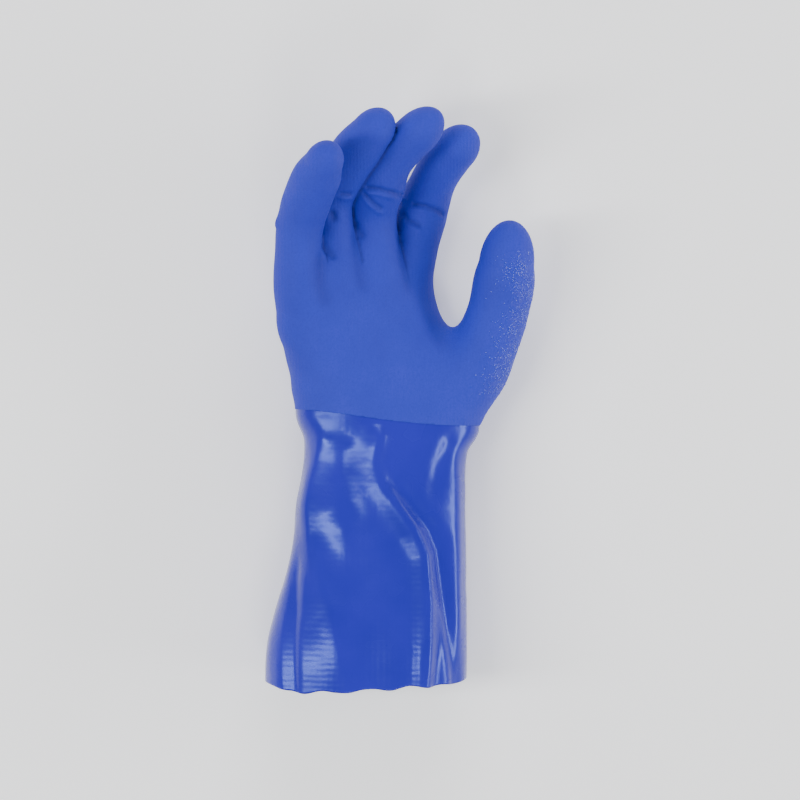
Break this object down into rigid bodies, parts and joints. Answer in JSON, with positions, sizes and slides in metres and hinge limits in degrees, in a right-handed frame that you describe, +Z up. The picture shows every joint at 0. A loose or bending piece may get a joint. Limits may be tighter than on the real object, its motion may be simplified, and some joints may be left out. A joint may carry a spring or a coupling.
{
  "type": "pvc coated work glove",
  "caption": "Right-hand PVC coated work glove lying palm up: rough matt coat on palm, curled fingers and thumb, smooth glossy gauntlet with soft folds and an open wavy hem. Hollow throughout.",
  "frame": {"origin": "on the surface that the glove lies on, under the middle of its bounding box", "axes": "+Y from the open hem to the fingertips, +X to the thumb side, +Z up out of the palm, away from the surface"},
  "size_m": [0.151, 0.3284, 0.1079],
  "materials": {
    "rough_coat": "matt blue PVC with a sandy grain",
    "smooth_coat": "smooth glossy blue PVC"
  },
  "bodies": {
    "root": {"hand": "rough_coat", "gauntlet": "smooth_coat"}
  },
  "joints": []
}
